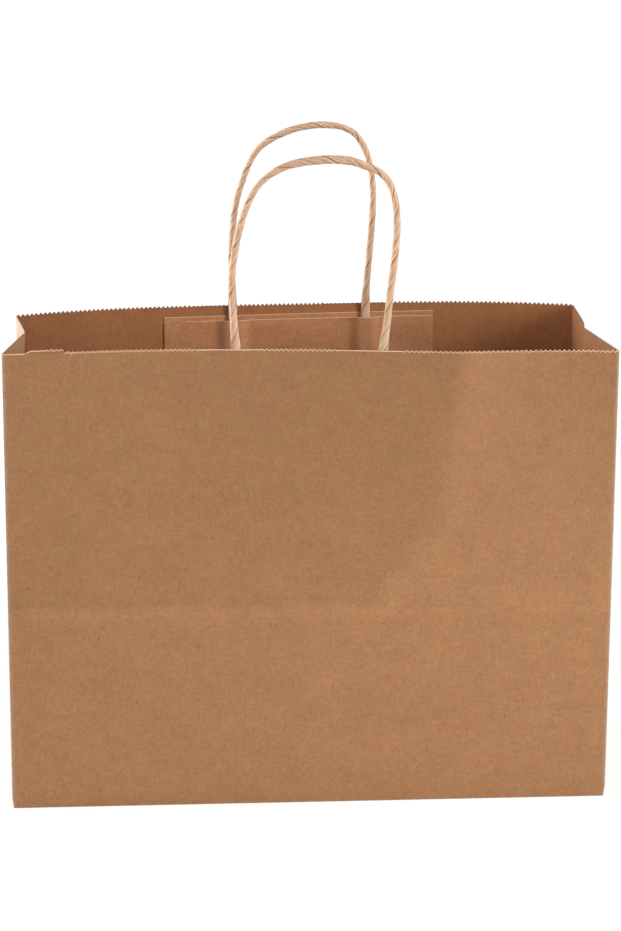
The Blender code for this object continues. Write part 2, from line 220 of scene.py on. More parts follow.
# Twisted cord handles
CORD_RADIUS = 0.0026
FOOT_HALF_WIDTH = 0.0034
FOOT_HALF_DEPTH = 0.0013
FOOT_LENGTH = 0.038
ROUND_ABOVE_RIM = 0.025
FRONT_SPAN = 0.097
FRONT_RISE = 0.1247
FRONT_MIDDLE_X = -0.0023
REAR_SPAN = 0.0964
REAR_RISE = 0.1294
REAR_MIDDLE_X = 0.0023
TWIST_PITCH = 0.031

# Grooves of the twisted paper: turn round the cord, depth as a share of the radius, half width
GROOVES = (
    (0.0, 0.30, 0.19),
    (2.75, 0.22, 0.16),
    (1.35, 0.13, 0.11),
    (4.20, 0.15, 0.12),
    (5.25, 0.10, 0.10),
    (2.05, 0.07, 0.09),
)
GROOVE_WANDER = 0.35
PRESSED_RELIEF = 0.35

# How far the twisted cord is from round, as shares of its radius: oval, dented, and thicker here and there
CORD_OVAL = 0.035
OVAL_TURN = 0.6
CORD_DENTS = 0.03
CORD_SWELLING = 0.045

# Each handle from its left foot to its right, as shares of its span and of its rise above the rim
FRONT_ROUTE = (
    (-0.515, 0.17), (-0.527, 0.36), (-0.493, 0.57), (-0.423, 0.758), (-0.327, 0.882), (-0.162, 0.966),
    (0.062, 1.0), (0.25, 0.998), (0.38, 0.968), (0.477, 0.93), (0.539, 0.866), (0.573, 0.77),
    (0.583, 0.65), (0.571, 0.49), (0.548, 0.33), (0.526, 0.155),
)
REAR_ROUTE = (
    (-0.503, 0.10), (-0.508, 0.333), (-0.482, 0.545), (-0.431, 0.691), (-0.357, 0.822), (-0.27, 0.90),
    (-0.118, 0.961), (0.013, 0.989), (0.144, 1.0), (0.293, 0.989), (0.397, 0.952), (0.474, 0.875),
    (0.525, 0.757), (0.545, 0.616), (0.539, 0.444), (0.519, 0.242), (0.503, 0.08),
)

# Thickness of each cord at the points of its route, as a share of its usual one
FRONT_GIRTH = (0.93, 0.92, 0.92, 0.83, 0.8, 0.98, 1.06, 1.03, 0.93, 0.87, 0.86, 0.9, 0.92, 0.92, 0.92, 0.93)
REAR_GIRTH = (
    0.93, 0.92, 0.9, 0.85, 0.8, 0.87, 0.94, 0.93, 0.96, 0.86, 0.85, 0.84, 0.8, 0.86, 0.93, 0.92, 0.92,
)

# How finely the meshes follow the shapes
ROW_STEP = 0.0048
STRIP_CELL = 0.0015
CORD_SIDES = 72
CORD_STEP = 0.0009
SHARP_ANGLE = math.radians(35)

# The walls in order round the bag, seen from above: name, first corner, last corner, way out
WALLS = (
    ("front", "front_left", "front_right", Vector((0.0, -1.0, 0.0))),
    ("right", "front_right", "rear_right", Vector((1.0, 0.0, 0.0))),
    ("rear", "rear_right", "rear_left", Vector((0.0, 1.0, 0.0))),
    ("left", "rear_left", "front_left", Vector((-1.0, 0.0, 0.0))),
)
FRONT, RIGHT, REAR, LEFT = WALLS
CORNER_SIGNS = {
    "front_left": (-1, -1),
    "front_right": (1, -1),
    "rear_right": (1, 1),
    "rear_left": (-1, 1),
}

# What the materials read from a mesh, and the distance that stands for well inside an edge
PLACE = "sheet_place"
FROM_EDGE = "from_edge"
TONE = "tone"
WEAR_AND_HIGHLIGHT = "wear_and_highlight"
PALE = "pale"
STRAND = "strand"
GROOVE = "groove"
FAR = 1.0

# Which face of a sheet a point is on: the material tints the inner one darker and redder, as the inner
# side's own colour and as painted shade of the bag's inside, and less in the gussets
OUTSIDE = 0
GUSSET_INSIDE = 0.4
INSIDE = 1

# Linear colours of the papers
KRAFT = (0.397, 0.204, 0.09)
KRAFT_RED = (0.407, 0.193, 0.088)
# The inner side's colour, darker and redder partly as painted shade of the bag's inside
KRAFT_INSIDE = (0.378, 0.153, 0.061)
# Pale cut fibres that also stand for painted highlight on the front rim and the strips' edges
CUT_FIBRES_AND_HIGHLIGHT = (0.97, 0.68, 0.48)
# Painted shade on the cut edges of the rear and side walls
SHADED_EDGE = (0.15, 0.09, 0.066)
SHADED_EDGE_SHARE = 0.8
# Rubbed fibres, also used as painted highlight on the corner folds and the left gusset's inside
FOLD_FIBRES_AND_HIGHLIGHT = (0.48, 0.35, 0.26)
STRIP_KRAFT = (0.49, 0.217, 0.102)
CORD_PAPER = (0.66, 0.43, 0.285)
CORD_SHADE = (0.3, 0.16, 0.085)
DARK_FIBRE = (0.17, 0.08, 0.04)
PAPER_ROUGHNESS = 0.68
PAPER_GLOSS = 0.2
SHEEN_ROUGHNESS = 0.4

# What the smoother outer side adds where it is seen at a grazing angle
GRAZING = (0.7, 0.93)
GRAZING_ROUGHNESS = -0.25
GRAZING_GLOSS = 0.6
GRAZING_SHEEN = 0.5


def lerp(first, last, share):
    return first + (last - first) * share


def smooth(share):
    """Eases from 0 to 1 with no kink at either end."""
    share = min(1.0, max(0.0, share))
    return share * share * (3 - 2 * share)


def grown(value, start, length):
    """0 up to a start, and 1 a length beyond it."""
    return smooth((value - start) / length)


def bell(value, middle, half_width):
    return math.exp(-(((value - middle) / half_width) ** 2))


# Form of the walls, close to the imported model's


def wall_width(wall):
    return BAG_WIDTH if wall in (FRONT, REAR) else BAG_DEPTH


def corner_at(name, height):
    """The point of a corner edge at a height up the paper."""
    sign_x, sign_y = CORNER_SIGNS[name]
    tuck = BASE_TUCK * max(0.0, 1 - height / TUCK_HEIGHT)
    foot = Vector((sign_x * (BAG_WIDTH / 2 - tuck), sign_y * (BAG_DEPTH / 2 - tuck), height))
    return foot + RIM_SHIFT[name] * (height / BAG_HEIGHT)


def above_crease(height):
    """0 on the front fold and below it, 1 at the rim."""
    return max(0.0, height - CREASE_HEIGHT) / (BAG_HEIGHT - CREASE_HEIGHT)


def ridge_x(height):
    shares, places = zip(*RIDGE_LINE)
    return float(np.interp(above_crease(height), shares, places))


def front_bulge(share, height):
    """The two pressed-in parts above the fold, the ridge between them, and the fold itself."""
    x = (share - 0.5) * BAG_WIDTH
    above = above_crease(height)
    ridge = ridge_x(height)
    reach = HOLLOW_X + BAG_WIDTH / 2 if x < HOLLOW_X else ridge - HOLLOW_X
    left = HOLLOW_DEPTH * math.cos(min(2.0, abs(x - HOLLOW_X) / reach) * math.pi / 2)
    beyond = (x - ridge) / (BAG_WIDTH / 2 - ridge)
    right = BEYOND_DEPTH * 4 * beyond * (1 - beyond)
    hollow = (left + right + math.hypot(left - right, RIDGE_ROUNDING)) / 2
    to_corner = min(share, 1 - share) * BAG_WIDTH
    crease = CREASE_DEPTH * max(0.0, 1 - abs(height - CREASE_HEIGHT) / CREASE_REACH)
    return crease * smooth(to_corner / CREASE_REACH) - hollow * above


def rear_bulge(share, height):
    arch = 1 - abs(2 * share - 1) ** BOW_POWER
    return REAR_BOW * arch * (height / BAG_HEIGHT) ** BOW_RISE


def soft_abs(value, radius):
    """The distance from 0, rounded within a radius of it, and exact at 1."""
    return math.hypot(value, radius) - (math.hypot(1, radius) - 1)


def soft_positive(value, radius):
    """The value where it is above 0, eased in over a radius."""
    return (value + math.hypot(value, radius)) / 2


def gusset_bulge(share, height, inset, bulge):
    """The inward fold starts where the two slanted creases from the base's corners meet."""
    to_middle = 1 - soft_abs(2 * share - 1, FOLD_RADIUS / BAG_DEPTH * 2)
    crease = BAG_DEPTH / 2 * to_middle
    up = soft_positive(height - crease, FOLD_RADIUS * 2) / (BAG_HEIGHT - crease)
    rear_half = math.sin(math.pi * math.sqrt(max(0.0, 2 * share - 1)))
    return -inset * to_middle * up + bulge * rear_half * up


def paper_wave(wall, share, height):
    """Slight unevenness, none at the folds or the base."""
    width = wall_width(wall)
    to_edge = min(share, 1 - share) * width
    place = Vector((share * width * WAVE_ACROSS, height * WAVE_UP, 3.7 * WALLS.index(wall)))
    fade = smooth(to_edge / WAVE_REACH) * smooth(height / WAVE_REACH)
    return WAVE_HEIGHT * fade * noise.noise(place)


def wall_point(wall, share, height):
    """A point of the bag's outer face, by its share of the wall's width and its height up the paper."""
    name, first, last, out = wall
    point = lerp(corner_at(first, height), corner_at(last, height), share)
    bulge = paper_wave(wall, share, height)
    if name == "front":
        bulge += front_bulge(share, height)
    elif name == "rear":
        bulge += rear_bulge(share, height)
    elif name == "left":
        bulge += gusset_bulge(share, height, LEFT_INSET, 0.0)
    else:
        bulge += gusset_bulge(share, height, RIGHT_INSET, GUSSET_BULGE)
    return point + out * bulge


def sheet_point(wall, place, height):
    """A point of the outer face by its distance along a wall, with the folds at the corners rounded."""
    width = wall_width(wall)
    if FOLD_RADIUS <= place <= width - FOLD_RADIUS:
        return wall_point(wall, place / width, height)
    index = WALLS.index(wall)
    if place < FOLD_RADIUS:
        before, after = WALLS[index - 1], wall
        along = place + FOLD_RADIUS
    else:
        before, after = wall, WALLS[(index + 1) % len(WALLS)]
        along = place - (width - FOLD_RADIUS)
    share = along / (2 * FOLD_RADIUS)
    start = wall_point(before, 1 - FOLD_RADIUS / wall_width(before), height)
    end = wall_point(after, FOLD_RADIUS / wall_width(after), height)
    corner = corner_at(after[1], height)
    return lerp(lerp(start, corner, share), lerp(corner, end, share), share)


def panel_inside(wall, x, height, depth):
    """A point inside the front or rear panel, a depth behind the panel's outer face."""
    _, first, last, out = wall
    start = corner_at(first, height).x
    share = (x - start) / (corner_at(last, height).x - start)
    return wall_point(wall, share, height) - out * depth


# Meshes with their place on the flat sheet


class Sheet:
    """Points with their place on the flat sheet and their look, and the faces between them."""

    def __init__(self):
        self.points = []
        self.values = {PLACE: [], FROM_EDGE: [], TONE: [], WEAR_AND_HIGHLIGHT: [], PALE: []}
        self.faces = []

    def point(self, position, place, from_edge=FAR, tone=1.0, wear_and_highlight=0.0, pale=1.0):
        self.points.append(tuple(position))
        for values, value in zip(self.values.values(), (tuple(place), from_edge, tone, wear_and_highlight, pale)):
            values.append(value)
        return len(self.points) - 1

    def face(self, *corners):
        self.faces.append(corners)

    def zip_rows(self, low, low_places, high, high_places, flip=False):
        """Fills the band between two runs of points with triangles, in the order of their places."""
        i = j = 0
        while i < len(low) - 1 or j < len(high) - 1:
            next_low = low_places[i + 1] if i < len(low) - 1 else math.inf
            next_high = high_places[j + 1] if j < len(high) - 1 else math.inf
            if next_low <= next_high:
                corners = (low[i], low[i + 1], high[j])
                i += 1
            else:
                corners = (low[i], high[j + 1], high[j])
                j += 1
            self.face(*(corners[::-1] if flip else corners))

    def band(self, low, high, flip=False, closed=True):
        """Fills the band between two runs of as many points with quads."""
        count = len(low)
        for i in range(count if closed else count - 1):
            k = (i + 1) % count
            corners = (low[i], low[k], high[k], high[i])
            self.face(*(corners[::-1] if flip else corners))

    def layer(self, outer, inner, mirrored=False):
        """Closes a thin layer of paper, given by the rows of its two sides."""
        for rows, flip in ((outer, mirrored), (inner, not mirrored)):
            for low, high in zip(rows, rows[1:]):
                self.band(low, high, flip, closed=False)
        self.band(outer[-1], inner[-1], mirrored, closed=False)
        self.band(inner[0], outer[0], mirrored, closed=False)
        for end, flip in ((0, mirrored), (-1, not mirrored)):
            self.band([row[end] for row in inner], [row[end] for row in outer], flip, closed=False)

    def build(self, name, material):
        return build_piece(name, material, self.points, self.faces, self.values)


def build_piece(name, material, points, faces, attributes):
    """Makes a mesh object with smooth faces and the values that its material reads."""
    data = bpy.data.meshes.new(name)
    data.from_pydata(points, [], faces)
    for key, values in attributes.items():
        values = np.array(values, np.float32)
        kind, field = ("FLOAT_VECTOR", "vector") if values.ndim == 2 else ("FLOAT", "value")
        data.attributes.new(key, kind, "POINT").data.foreach_set(field, values.ravel())
    data.materials.append(material)
    data.shade_smooth()
    data.set_sharp_from_angle(angle=SHARP_ANGLE)
    piece = bpy.data.objects.new(name, data)
    bpy.context.scene.collection.objects.link(piece)
    return piece


# Paper bag


def wall_start(wall):
    """How far along the flat sheet a wall starts."""
    return sum(wall_width(other) for other in WALLS[:WALLS.index(wall)])


def upright_places(wall):
    """Distances along a wall of its upright lines: at each tooth's foot, and close to the folds."""
    width = wall_width(wall)
    teeth = round(width / TOOTH_PITCH)
    inner = [width * i / teeth for i in range(1, teeth)]
    near_fold = [FOLD_RADIUS * share for share in (0.5, 1, 2)]
    if wall in (LEFT, RIGHT):
        inner += [width / 2 + side * near for side in (-1, 1) for near in near_fold]
    return [0.0] + near_fold + sorted(inner) + [width - place for place in reversed(near_fold)]


def tooth_tips(wall):
    width = wall_width(wall)
    teeth = round(width / TOOTH_PITCH)
    return [width * (i + 0.5) / teeth for i in range(teeth)]


def row_heights():
    """Heights of the rows of faces, closer together at the base and on the front fold."""
    top = BAG_HEIGHT - RIM_BAND
    count = round(top / ROW_STEP)
    wanted = [top * i / count for i in range(1, count + 1)]
    close = [BASE_FOLD_RADIUS * 2, TUCK_HEIGHT * 0.4, TUCK_HEIGHT * 0.7, TUCK_HEIGHT]
    near_crease = [CREASE_REACH * share for share in CREASE_HEIGHT_SHARES]
    close += [CREASE_HEIGHT + side * near for side in (-1, 1) for near in near_crease]
    close.append(CREASE_HEIGHT)
    kept = [height for height in wanted if min(abs(height - other) for other in close) > ROW_STEP * 0.35]
    return sorted(kept + close)


def tooth_share(wall, place):
    """The share of their depth that the teeth keep at a place along a wall."""
    share = REAR_TOOTH_SHARE if wall == REAR else 1.0
    x = place - BAG_WIDTH / 2
    for start, end, left in {"front": FRONT_WORN, "rear": REAR_WORN}.get(wall[0], ()):
        if wall == REAR:
            start, end = -end, -start
        inside = min(smooth((x - start) / WORN_EASE + 0.5), smooth((end - x) / WORN_EASE + 0.5))
        share = lerp(share, left, inside)
    return share


def painted_front_shading(wall, place, height):
    """Painted shade and highlight on the front panel's outside at a place: along its folds and where it is
    pressed in.
    """
    if wall != FRONT:
        return 1.0
    x = place - BAG_WIDTH / 2
    over = height - CREASE_HEIGHT
    past = x - ridge_x(height)
    # Painted shade and painted highlight across the panel's hollows, ridge and fold
    tone = 1.0 - PRESSED_SHADE * grown(-past, *PRESSED_EDGE) * grown(over, *PRESSED_FOOT)
    tone -= TOP_SHADE * min(1.0, max(0.0, (height - TOP_SHADE_FROM) / TOP_SHADE_LENGTH))
    tone += RIDGE_HIGHLIGHT * grown(over, *RIDGE_HIGHLIGHT_FOOT) * bell(past, *RIDGE_HIGHLIGHT_BAND)
    tone -= CORNER_SHADE * grown(x, *CORNER_SHADE_ACROSS) * grown(height, *CORNER_SHADE_UP)
    tone += CREASE_HIGHLIGHT * bell(over, *CREASE_HIGHLIGHT_BAND)
    tone -= CREASE_SHADE * bell(over, *CREASE_SHADE_BAND) * grown(-x, *CREASE_SHADE_LEFT)
    tone += PATCH_HIGHLIGHT * bell(x, *PATCH_BAND_ACROSS) * bell(height, *PATCH_BAND_UP)
    tone += FAINT_HIGHLIGHT * bell(x, *FAINT_LINE_BAND) * grown(height, *FAINT_LINE_UP)
    patch = grown(x, *FAINT_PATCH_START) * grown(-x, *FAINT_PATCH_END) * bell(height, *FAINT_PATCH_BAND_UP)
    return tone + FAINT_HIGHLIGHT * patch


def fold_wear_and_highlight(wall, place):
    """How far the paper is rubbed to its fibres on the corner folds, which also stands for painted highlight
    there.
    """
    to_fold = min(place, wall_width(wall) - place)
    return 1 - smooth(to_fold / FOLD_WEAR_AND_HIGHLIGHT_REACH)


def rim_height(wall, place):
    """The saw-cut edge: teeth of uneven depth, worn along some stretches."""
    step = place / TOOTH_PITCH
    below_tip = abs(2 * (step % 1) - 1)
    along = wall_start(wall) + place
    unevenness = noise.noise(Vector((along * TOOTH_NOISE, 5.3, 0)))
    sway = noise.noise(Vector((along * SWAY_NOISE, 1.7, 0)))
    depth = TOOTH_DEPTH * (TOOTH_SHARE + TOOTH_UNEVENNESS * unevenness) * tooth_share(wall, place)
    middle = BAG_HEIGHT
    if wall == LEFT:
        middle += LEFT_FOLD_RISE * (1 - abs(2 * place / BAG_DEPTH - 1))
    return middle + depth * (0.5 - below_tip) + RIM_SWAY * sway


def moved_in(ring, distances):
    """A ring of points moved inwards, level, and mitred at its corners."""
    moved = []
    for i, point in enumerate(ring):
        before = point - ring[i - 1]
        after = ring[(i + 1) % len(ring)] - point
        first = Vector((before.y, -before.x, 0)).normalized()
        second = Vector((after.y, -after.x, 0)).normalized()
        moved.append(point - (first + second) / (1 + first.dot(second)) * distances)
    return moved


def foot_height(wall, place):
    """How high the paper's lowest fold lies: the front flap's is on the floor."""
    if wall == FRONT or (wall == RIGHT and place == 0):
        return 0.0
    if wall == REAR or (wall == LEFT and place == 0):
        return PAPER
    return 2 * PAPER


def ring_of(uprights, height):
    return [sheet_point(wall, place, height) for wall, place in uprights]


def inner_face(wall):
    return INSIDE if wall in (FRONT, REAR) else GUSSET_INSIDE


def inner_look(wall, x):
    """The painted light and shade of a wall's inner face: its tone and its whitish painted highlight."""
    if wall == LEFT:
        # Painted highlight: a paler tone and whitish fibres on the left gusset's inside
        return LEFT_INNER_TONE, LEFT_INNER_HIGHLIGHT
    if wall == REAR:
        # Painted shade towards the rear panel's left end
        return 1.0 - REAR_CORNER_SHADE * grown(-x, *REAR_CORNER_LEFT), 0.0
    return 1.0, 0.0


def bag_rows(sheet, uprights):
    """The outer and inner rows of points up the walls."""
    outer_rows, inner_rows = [], []
    bottom = ring_of(uprights, 0.0)
    feet = [foot_height(*upright) for upright in uprights]
    for turn in range(4):
        angle = math.pi / 2 * turn / 3
        ring = moved_in(bottom, BASE_FOLD_RADIUS * (1 - math.sin(angle)))
        rise = BASE_FOLD_RADIUS * (1 - math.cos(angle))
        row = []
        for point, foot, (wall, place) in zip(ring, feet, uprights):
            position = (point.x, point.y, foot + rise)
            wear_and_highlight = max(fold_wear_and_highlight(wall, place), BASE_WEAR * turn / 3)
            row.append(sheet.point(position, (wall_start(wall) + place, rise, OUTSIDE), wear_and_highlight=wear_and_highlight))
        outer_rows.append(row)
    inside_base = 3 * PAPER
    ring = moved_in(bottom, PAPER)
    row = []
    for point, (wall, place) in zip(ring, uprights):
        on_sheet = (wall_start(wall) + place, 0, inner_face(wall))
        row.append(sheet.point((point.x, point.y, inside_base), on_sheet))
    inner_rows.append(row)
    for height in row_heights():
        ring = ring_of(uprights, height)
        row = []
        for point, (wall, place) in zip(ring, uprights):
            on_sheet = (wall_start(wall) + place, height, OUTSIDE)
            tone = painted_front_shading(wall, place, height)
            row.append(sheet.point(point, on_sheet, tone=tone, wear_and_highlight=fold_wear_and_highlight(wall, place)))
        outer_rows.append(row)
        row = []
        for point, (wall, place) in zip(moved_in(ring, PAPER), uprights):
            on_sheet = (wall_start(wall) + place, height, inner_face(wall))
            tone, wear_and_highlight = inner_look(wall, point.x)
            row.append(sheet.point(point, on_sheet, tone=tone, wear_and_highlight=wear_and_highlight))
        inner_rows.append(row)
    return outer_rows, inner_rows


def rim_row(sheet, rim_places, below_edge, depth, side, from_edge):
    """A run of points along the saw-cut edge, or parallel to it and a little lower."""
    ring = ring_of(rim_places, BAG_HEIGHT)
    row = []
    for point, (wall, place) in zip(moved_in(ring, depth), rim_places):
        height = rim_height(wall, place) - below_edge
        position = (point.x, point.y, point.z - BAG_HEIGHT + height)
        on_sheet = (wall_start(wall) + place, height, inner_face(wall) if side == INSIDE else side)
        under_lap = wall == FRONT and LAP_START < place < LAP_START + LAP_WIDTH
        frayed = from_edge + (FRAYED_BAND if under_lap else 0.0)
        tone, wear_and_highlight = inner_look(wall, point.x)
        if side == OUTSIDE:
            tone, wear_and_highlight = painted_front_shading(wall, place, BAG_HEIGHT), fold_wear_and_highlight(wall, place)
        # The front wall's cut edge is pale with painted highlight, the others' take painted shade
        pale = 1.0 if wall == FRONT else 0.0
        row.append(sheet.point(position, on_sheet, frayed, tone, wear_and_highlight, pale))
    return row


def ring_places(uprights):
    """Distances along the whole flat sheet of the uprights, closed by the first one again."""
    total = wall_start(LEFT) + BAG_DEPTH
    return [wall_start(wall) + place for wall, place in uprights] + [total]


def closed(row):
    return row + row[:1]


def wall_run(uprights, row, wall):
    """The points of a row that lie on one wall, from corner to corner."""
    picked = [i for i, upright in enumerate(uprights) if upright[0] == wall]
    return [row[i] for i in picked] + [row[(picked[-1] + 1) % len(row)]]


def across_base(sheet, edge, fold, flip):
    """Fills between a long edge of the base, given from left to right, and the line of folds facing it."""
    edge_x = [sheet.points[i][0] for i in edge]
    fold_x = [sheet.points[i][0] for i in fold]
    sheet.zip_rows(edge, edge_x, fold, fold_x, flip)


def base_point(sheet, x, y, z, side):
    return sheet.point((x, y, z), (x + BAG_WIDTH / 2, -BAG_DEPTH / 2 - y, side))


def base_inside(sheet, uprights, row):
    """The floor of the bag, with its folds from the corners to the ends of the middle line."""
    tips = [base_point(sheet, side * (BAG_WIDTH - BAG_DEPTH) / 2, 0, 3 * PAPER, 1) for side in (-1, 1)]
    across_base(sheet, wall_run(uprights, row, FRONT), tips, False)
    across_base(sheet, wall_run(uprights, row, REAR)[::-1], tips, True)
    for wall, tip in ((LEFT, tips[0]), (RIGHT, tips[1])):
        run = wall_run(uprights, row, wall)
        for first, last in zip(run, run[1:]):
            sheet.face(first, last, tip)


def base_underside(sheet, uprights, row):
    """The folded flaps: the front one lowest, the rear one a paper's thickness up and the ears two."""
    middle = (BAG_WIDTH - BAG_DEPTH) / 2
    inner = middle - FLAP_OVERLAP
    tips, free_edge = {}, {}
    for side in (-1, 1):
        for layer in range(3):
            tips[side, layer] = base_point(sheet, side * middle, 0, layer * PAPER, 0)
        for layer in range(2):
            free_edge[side, layer] = base_point(sheet, side * inner, FLAP_OVERLAP, layer * PAPER, 0)
    fronts, rears = (
        [tips[-1, layer], free_edge[-1, layer], free_edge[1, layer], tips[1, layer]] for layer in range(2)
    )
    front_edge = wall_run(uprights, row, FRONT)
    rear_edge = wall_run(uprights, row, REAR)[::-1]
    across_base(sheet, front_edge, fronts, True)
    across_base(sheet, rear_edge, rears, False)
    for i in range(3):
        sheet.face(fronts[i], rears[i], rears[i + 1], fronts[i + 1])
    for side, wall, end in ((-1, LEFT, 0), (1, RIGHT, -1)):
        run = wall_run(uprights, row, wall)
        for first, last in zip(run, run[1:]):
            sheet.face(last, first, tips[side, 2])
        corners = (
            (front_edge[end], tips[side, 0], tips[side, 1]),
            (front_edge[end], tips[side, 1], tips[side, 2]),
            (rear_edge[end], tips[side, 2], tips[side, 1]),
        )
        for corner in corners:
            sheet.face(*(corner if side == -1 else corner[::-1]))


def lap_layer(sheet):
    """The sheet's glued end: a strip of paper inside the front panel that stands a little above its rim."""
    start = LAP_START
    teeth = round(LAP_WIDTH / TOOTH_PITCH)
    places = [start + LAP_WIDTH * i / (2 * teeth) for i in range(2 * teeth + 1)]
    heights = [height for height in row_heights() if height > TUCK_HEIGHT]
    sides = []
    for side, depth in ((0, PAPER + GLUE_GAP), (1, 2 * PAPER + GLUE_GAP)):
        rows = []
        for height in heights:
            row = []
            for place in places:
                point = wall_point(FRONT, place / BAG_WIDTH, height) - FRONT[3] * depth
                # The lap carries the painted shade of the pressed-in panel
                row.append(sheet.point(point, (place, height, side + 2), tone=1 - PRESSED_SHADE))
            rows.append(row)
        for below_edge, from_edge in ((FRAYED_BAND, FRAYED_BAND), (0.0, 0.0)):
            row = []
            for place in places:
                point = wall_point(FRONT, place / BAG_WIDTH, BAG_HEIGHT) - FRONT[3] * depth
                above = LAP_RISE * smooth((place - start) / LAP_EASE)
                height = rim_height(REAR, place + TOOTH_PITCH * LAP_TOOTH_SHIFT) + above - below_edge
                position = (point.x, point.y, point.z - BAG_HEIGHT + height)
                on_sheet = (place, height, side + 2)
                row.append(sheet.point(position, on_sheet, from_edge, 1 - PRESSED_SHADE))
            rows.append(row)
        sides.append(rows)
    sheet.layer(*sides)


def build_bag(material):
    sheet = Sheet()
    uprights = [(wall, place) for wall in WALLS for place in upright_places(wall)]
    rim_places = [
        (wall, place) for wall in WALLS for place in sorted(upright_places(wall) + tooth_tips(wall))
    ]
    outer_rows, inner_rows = bag_rows(sheet, uprights)
    for low, high in zip(outer_rows, outer_rows[1:]):
        sheet.band(low, high)
    for low, high in zip(inner_rows, inner_rows[1:]):
        sheet.band(low, high, flip=True)

    frayed = rim_row(sheet, rim_places, FRAYED_BAND, 0.0, OUTSIDE, FRAYED_BAND)
    outer_edge = rim_row(sheet, rim_places, 0.0, 0.0, OUTSIDE, 0.0)
    inner_edge = rim_row(sheet, rim_places, 0.0, PAPER, INSIDE, 0.0)
    inner_frayed = rim_row(sheet, rim_places, FRAYED_BAND, PAPER, INSIDE, FRAYED_BAND)
    low_places, high_places = ring_places(uprights), ring_places(rim_places)
    sheet.zip_rows(closed(outer_rows[-1]), low_places, closed(frayed), high_places)
    sheet.band(frayed, outer_edge)
    sheet.band(outer_edge, inner_edge)
    sheet.band(inner_edge, inner_frayed)
    sheet.zip_rows(closed(inner_rows[-1]), low_places, closed(inner_frayed), high_places, flip=True)

    base_inside(sheet, uprights, inner_rows[0])
    base_underside(sheet, uprights, outer_rows[0])
    lap_layer(sheet)
    return sheet.build("paper_bag", material)


# Handle strips


def leg_places(middle, span):
    return middle - span / 2, middle + span / 2


def channel_lift(x, middle, span):
    """How far the cover strip stands up over a cord's foot."""
    nearest = min(abs(x - leg) for leg in leg_places(middle, span))
    beyond = max(0.0, nearest - FOOT_HALF_WIDTH - SEAT_GAP)
    return (2 * FOOT_HALF_DEPTH + SEAT_GAP) * (1 - smooth(beyond / CHANNEL_RAMP))


def strip_rows(bottom, top):
    """Heights of a strip's rows of faces, the last two close to its top edge."""
    count = round((top - bottom) / STRIP_CELL)
    rows = [lerp(bottom, top - FRAYED_BAND, i / count) for i in range(count + 1)]
    return rows + [top]


def slanted_noise(x, height, seed, across, lean, up, back):
    return noise.noise(Vector((x * across + height * lean, height * up - x * back, seed)))


def wrinkle(x, height, seed):
    """Shallow slanted folds of a glued strip."""
    fine = slanted_noise(x, height, seed, *FINE_WRINKLES)
    return slanted_noise(x, height, seed, *BROAD_WRINKLES) + FINE_WRINKLE_SHARE * fine


def build_strip(name, material, wall, middle, slope, drop, near, lift, notch, seed):
    """A thin strip of paper inside a panel, whose depth may change across it."""
    sheet = Sheet()
    raised = REAR_STRIP_RISE if wall == REAR else 0.0
    bottom, top = BAG_HEIGHT - STRIP_DROP - STRIP_HEIGHT + raised, BAG_HEIGHT - drop + raised
    count = round(STRIP_WIDTH / STRIP_CELL)
    lines = [middle + STRIP_WIDTH * (i / count - 0.5) for i in range(count + 1)]
    heights = strip_rows(bottom, top)
    sides = []
    for side, thickness in ((0, 0.0), (1, STRIP_PAPER)):
        rows = []
        for k, height in enumerate(heights):
            row = []
            below = top - height
            for x in lines:
                cut = notch(x) * smooth((height - bottom) / (top - bottom))
                level = height + slope * (x - middle) - cut
                puff = STRIP_PUFF * (0.5 + wrinkle(x, height, seed)) * smooth(below / PUFF_START)
                depth = near + thickness + lift(x) + max(0.0, puff)
                from_edge = below if k >= len(heights) - 2 else FAR
                if cut > 0 and noise.noise(Vector((x * 900, 3.1, 0))) > -0.15:
                    from_edge += FRAYED_BAND
                on_sheet = (x, height, seed + side)
                # Painted shade towards the strip's right end
                tone = 1.0 - STRIP_END_SHADE * grown((x - middle) / (STRIP_WIDTH / 2), STRIP_END_FROM, 1.0)
                row.append(sheet.point(panel_inside(wall, x, level, depth), on_sheet, from_edge, tone))
            rows.append(row)
        sides.append(rows)
    sheet.layer(*sides, mirrored=wall == REAR)
    return sheet.build(name, material)


def no_notch(x):
    return 0.0


def torn_notch(x):
    """How deep the ragged dip is at a place."""
    inside = grown(x, NOTCH_START, NOTCH_EASE) * (1 - grown(x, NOTCH_END, NOTCH_EASE))
    return inside * (NOTCH_DEPTH + NOTCH_RAGGED * noise.noise(Vector((x * 600, 0, 0))))


def build_strips(wall, middle, span, slope, notch, material):
    near = PAPER + GLUE_GAP
    name = wall[0]
    backing = build_strip(
        f"{name}_backing_paper", material, wall, middle, slope, STRIP_DROP, near,
        lambda x: 0.0, no_notch, 4,
    )
    cover = build_strip(
        f"{name}_cover_paper", material, wall, middle, slope, STRIP_DROP + COVER_DROP,
        near + STRIP_PAPER + GLUE_GAP + SEAT_GAP / 2,
        lambda x: channel_lift(x, middle, span), notch, 8,
    )
    return backing, cover


# Handles


def roundness(height):
    """0 where the cord is pressed flat between the strips, 1 where it is round above the rim."""
    start = BAG_HEIGHT - STRIP_DROP
    return smooth((height - start) / (BAG_HEIGHT + ROUND_ABOVE_RIM - start))


def cord_half_depth(height):
    return lerp(FOOT_HALF_DEPTH, CORD_RADIUS, roundness(height))


def leg_point(wall, x, height):
    """The middle of the cord where it lies along the panel."""
    depth = PAPER + 2 * SEAT_GAP + STRIP_PAPER + cord_half_depth(height)
    return panel_inside(wall, x, height, depth)


